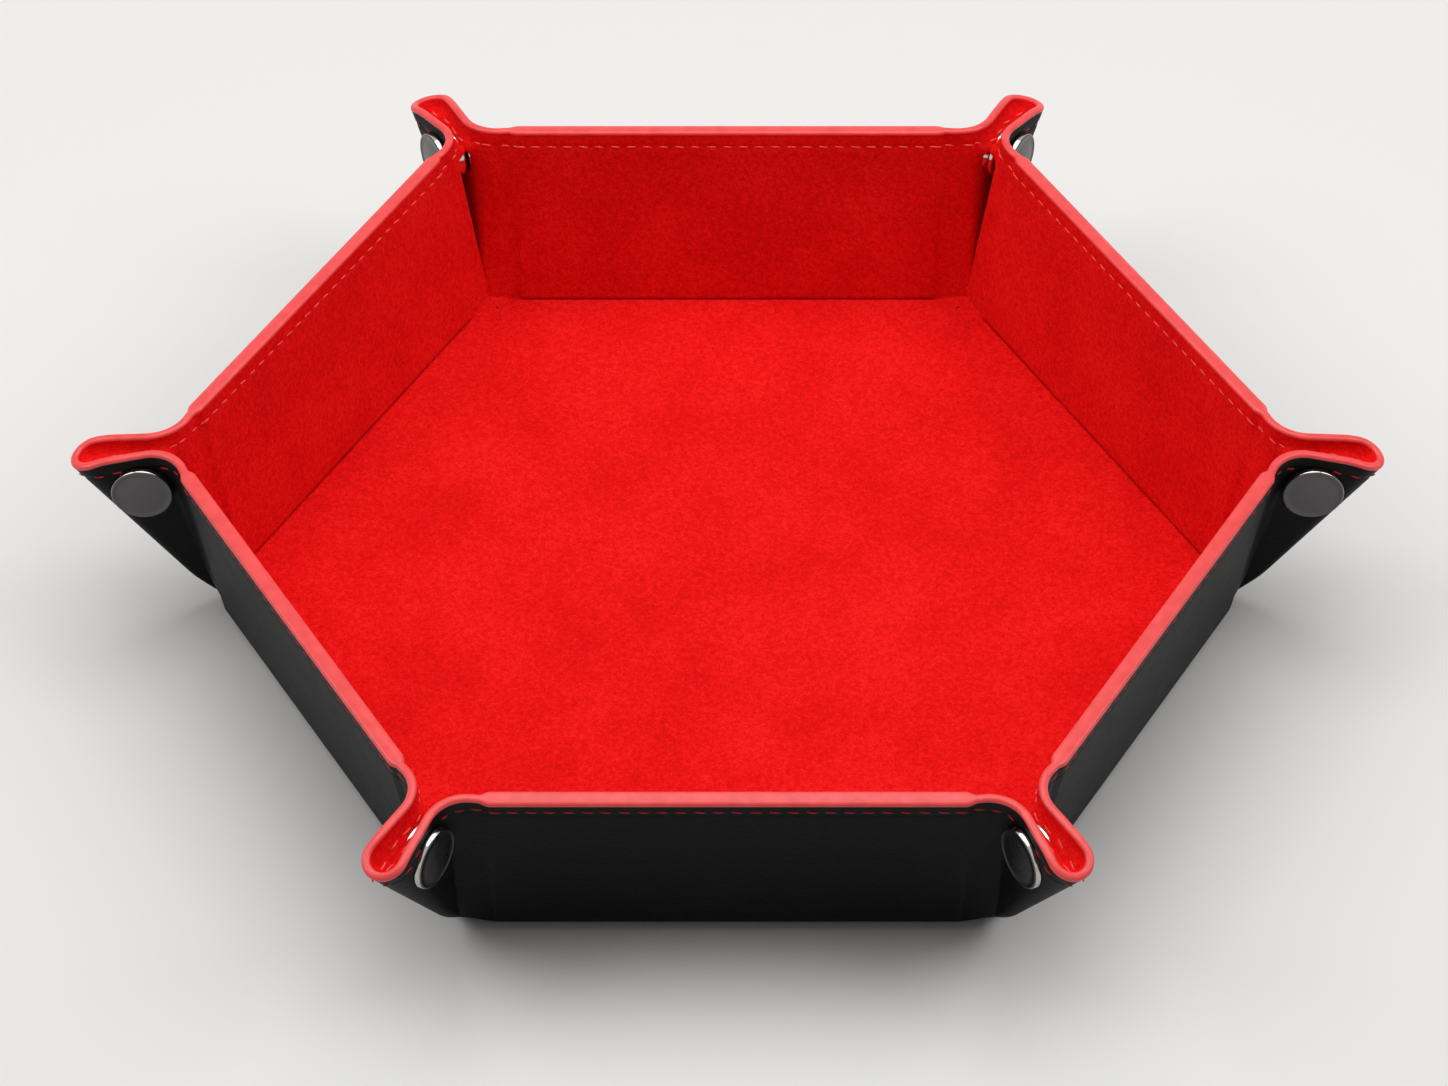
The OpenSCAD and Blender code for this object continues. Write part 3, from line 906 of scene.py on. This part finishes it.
# Snaps. Their sections are (radius, height) lists in millimetres, turned about the line across an ear.
socketBox = [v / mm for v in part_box("right_snap_socket")]
studBox = [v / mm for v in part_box("right_snap_stud")]
snap = {
    "x": (socketBox[0].x + socketBox[1].x) / 2,
    "z": (socketBox[0].z + socketBox[1].z) / 2,
    "capR": (socketBox[1].z - socketBox[0].z) / 2,
    "capH": 1.45,
    "roll": 0.42,                         # radius of a cap's rolled rim
    "faceDrop": 0.10,                     # of the face below the rim, at its edge
    "dome": 0.26,                         # rise of the face's middle
    "socketR": 5.3,
    "socketH": 2.6,
    "mouthR": 2.45,
    "flangeR": 4.6,
    "studR": 1.8,
    "springR": 0.2,
    "springOff": 2.15,
    "springHalf": 1.7,
    "springDown": 1.0,                    # below the socket's face
}
capFoot = socketBox[1].y - snap["capH"]
onLining = capFoot - 0.05 - tray["skinsT"]
studTop = onLining + studBox[1].y         # the stud's length: its box ends at the stud's tip


def arc(r, h, radius, first, last, steps):        # points round (r, h), from one angle to another in degrees
    angles = np.radians(np.linspace(first, last, steps))
    return [(r + radius * cos(a), h + radius * sin(a)) for a in angles]


# The section's height 0 lies at start on the ear, and the faces across its end can have their own material
def lathe(section, start, way, material, endMaterial=None, turns=64):
    verts = []
    for r, h in section:
        for i in range(turns):
            a = 2 * pi * i / turns
            verts.append((snap["x"] + r * cos(a), start + way * h, snap["z"] + r * sin(a)))
    obj = meshObject("turning", verts, bandFaces(0, len(section), turns), material)
    if endMaterial:
        obj.data.materials.append(endMaterial)
        for polygon in obj.data.polygons:
            if polygon.normal.y * way > 0.6:
                polygon.material_index = 1
    return obj


def capSection():
    r, h, roll = snap["capR"] - snap["roll"], snap["capH"], snap["roll"]
    face = h - snap["faceDrop"]
    return ([(0, 0.2), (r - 0.4, 0.2), (r - 0.2, 0)] + arc(r, roll, roll, -80, 0, 7)
            + arc(r - 0.12, h - roll, roll, 8, 112, 12)
            + [((r - roll) * v, face + snap["dome"] * (1 - v * v)) for v in (1.0, 0.8, 0.6, 0.4, 0.2, 0.0)])


def socketSection():
    r, h, mouth = snap["socketR"], snap["socketH"], snap["mouthR"]
    return ([(0, 0), (r - 0.25, 0.02), (r - 0.05, 0.2), (r - 0.12, 0.5), (r - 0.1, 0.9)]
            + arc(r - 0.85, h - 0.85, 0.85, -25, 100, 12)
            + [(r - 1.3, h - 0.12), (r - 1.8, h - 0.3), (mouth + 0.5, h - 0.25)]
            + arc(mouth + 0.3, h - 0.5, 0.3, 80, 180, 6) + [(mouth, 0.9), (mouth - 0.15, 0.4), (0, 0.35)])


def studSection():
    wide, r, h = snap["flangeR"], snap["studR"], studTop
    return ([(0, 0), (wide - 0.15, 0.02), (wide, 0.2), (wide - 0.05, 0.42), (wide - 0.4, 0.6),
             (r + 0.7, 0.64), (r + 0.2, 0.75), (r - 0.18, 1.05), (r - 0.2, h - 1.5), (r - 0.02, h - 1.0)]
            + arc(r - 0.6, h - 0.6, 0.6, 0, 80, 6) + [(0, h)])


def springWires():
    verts, faces = [], []
    level = onLining - snap["socketH"] + snap["springDown"]
    for side in (-1, 1):
        first = len(verts)
        for z in (-snap["springHalf"], snap["springHalf"]):
            for i in range(8):
                a = pi * i / 4
                verts.append((snap["x"] + side * snap["springOff"] + snap["springR"] * cos(a),
                              level + snap["springR"] * sin(a), snap["z"] + z))
        faces += bandFaces(first, 2, 8) + [[first + i for i in range(8)], [first + 15 - i for i in range(8)]]
    return meshObject("spring", verts, faces, brightMaterial)


def joined(name, parts):                  # one piece of several, each with its own material
    whole = bmesh.new()
    materials = []
    for part in parts:
        first = len(whole.faces)
        whole.from_mesh(part.data)
        whole.faces.ensure_lookup_table()
        for face in whole.faces[first:]:
            face.material_index += len(materials)
        materials += part.data.materials
        bpy.data.objects.remove(part)
    mesh = bpy.data.meshes.new(name)
    whole.to_mesh(mesh)
    whole.free()
    for material in materials:
        mesh.materials.append(material)
    return mesh


# each cap's rim takes the painted highlight, and its face the painted dark reflection
socketMesh = joined("snap_socket", [lathe(capSection(), capFoot, 1, capRimPaintedHighlight, capFacePaintedDark),
                                    lathe(socketSection(), onLining, -1, brightMaterial), springWires()])
studMesh = joined("snap_stud", [lathe(capSection(), capFoot, 1, capRimPaintedHighlight, capFacePaintedDark),
                                lathe(studSection(), onLining, -1, brightMaterial)])


def placeSnap(k, left):
    name = earNames[k] + ("_snap_socket" if left else "_snap_stud")
    mesh = (socketMesh if left else studMesh).copy()
    mesh.name = name + "_metal"
    points = np.empty(len(mesh.vertices) * 3)
    mesh.vertices.foreach_get("co", points)
    mesh.vertices.foreach_set("co", turned(points.reshape(-1, 3), k, not left).ravel())
    if not left:
        mesh.flip_normals()
    obj = keepEdges(bpy.data.objects.new(name + "_metal", mesh), 45)
    scene.collection.objects.link(obj)
    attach(obj, earNames[k] + ("_ear_left_side" if left else "_ear_right_side"))
    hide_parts(name)


for k in range(6):
    placeSnap(k, True)
    placeSnap(k, False)
print("snaps made")

for name, node in frame["nodes"].items():         # an open fold shows the boards' ends
    if name.endswith("_board"):
        node.data.materials.clear()
        node.data.materials.append(boardMaterial)


# Floor, lights and camera
studio = {
    "paper": "#e9e8e6",
    "backdrop": "#f2f1ef",
    "fill": 0.18,                         # strength of the backdrop's light on the tray
    "far": (0.2, 1.3),                    # where the paper starts to glow, and where all of it does
    "glow": 0.62,
    "tableHalf": 4,
    "overhead": {"place": (0.0, 0.12, 0.75), "size": 0.8, "power": 4.1},
    "left": {"place": (-0.72, 0.02, 0.70), "size": 0.6, "power": 2.7},
    "right": {"place": (0.72, 0.02, 0.70), "size": 0.6, "power": 2.7},
    "camera": (-0.0007, -0.7793, 0.7642),
    "aim": (-0.0007, 0.0157, 0.0),
    "lens": 134.4,
}


def seenDirectly(tree):                   # 1 for the camera's rays, also in and through shiny things
    rays = addNode(tree, "ShaderNodeLightPath").outputs
    seen = rays["Is Camera Ray"]
    for other in ("Is Glossy Ray", "Is Transmission Ray"):
        seen = addNode(tree, "ShaderNodeMath", {0: seen, 1: rays[other]}, operation="MAXIMUM")
    return seen


# Matt backdrop paper, which stays pale beyond the reach of the lamps
def makePaper():
    material, tree, place = newMaterial("backdrop_paper")
    tooth = addNode(tree, "ShaderNodeTexNoise", {"Vector": place, "Scale": perMm(1.5)})
    away = addNode(tree, "ShaderNodeVectorMath", {0: place}, operation="LENGTH")
    far = addNode(tree, "ShaderNodeMapRange", {0: away.outputs["Value"], 1: studio["far"][0],
                                               2: studio["far"][1], 4: studio["glow"]},
                  interpolation_type="SMOOTHSTEP")
    glow = addNode(tree, "ShaderNodeMath", {0: far, 1: seenDirectly(tree)}, operation="MULTIPLY")
    finishMaterial(tree, tooth, 0.02, 0.3, {
        "Base Color": linear(studio["paper"]), "Roughness": 0.9,
        "Emission Color": linear(studio["backdrop"]), "Emission Strength": glow})
    return material


table = bpy.data.meshes.new("table")
table.from_pydata([(x * studio["tableHalf"], y * studio["tableHalf"], 0)
                   for x, y in ((-1, -1), (1, -1), (1, 1), (-1, 1))], [], [(0, 1, 2, 3)])
table.materials.append(makePaper())
tableTop = bpy.data.objects.new("table_top", table)
scene.collection.objects.link(tableTop)

for name in ("overhead", "left", "right"):
    lamp = bpy.data.lights.new(name + "_lamp", "AREA")
    lamp.shape = "DISK"
    lamp.size = studio[name]["size"]
    lamp.energy = studio[name]["power"]
    lampObject = bpy.data.objects.new(name + "_lamp", lamp)
    lampObject.location = studio[name]["place"]
    lampObject.rotation_euler = (-Vector(studio[name]["place"])).to_track_quat("-Z", "Y").to_euler()
    scene.collection.objects.link(lampObject)

world = bpy.data.worlds.new("studio")
world.use_nodes = True
scene.world = world
tree = world.node_tree
tree.nodes.clear()
level = addNode(tree, "ShaderNodeMapRange", {0: seenDirectly(tree), 3: studio["fill"], 4: 1.0})
sky = addNode(tree, "ShaderNodeBackground", {0: linear(studio["backdrop"]), 1: level})
addNode(tree, "ShaderNodeOutputWorld", {0: sky})

lens = bpy.data.cameras.new("camera")
lens.lens = studio["lens"]
lens.sensor_width = 36.0
lens.clip_start = 0.01
camera = bpy.data.objects.new("camera", lens)
camera.location = studio["camera"]
camera.rotation_euler = (Vector(studio["aim"]) - camera.location).to_track_quat("-Z", "Y").to_euler()
scene.collection.objects.link(camera)
scene.camera = camera
scene.view_settings.view_transform = "Standard"
print("studio made")
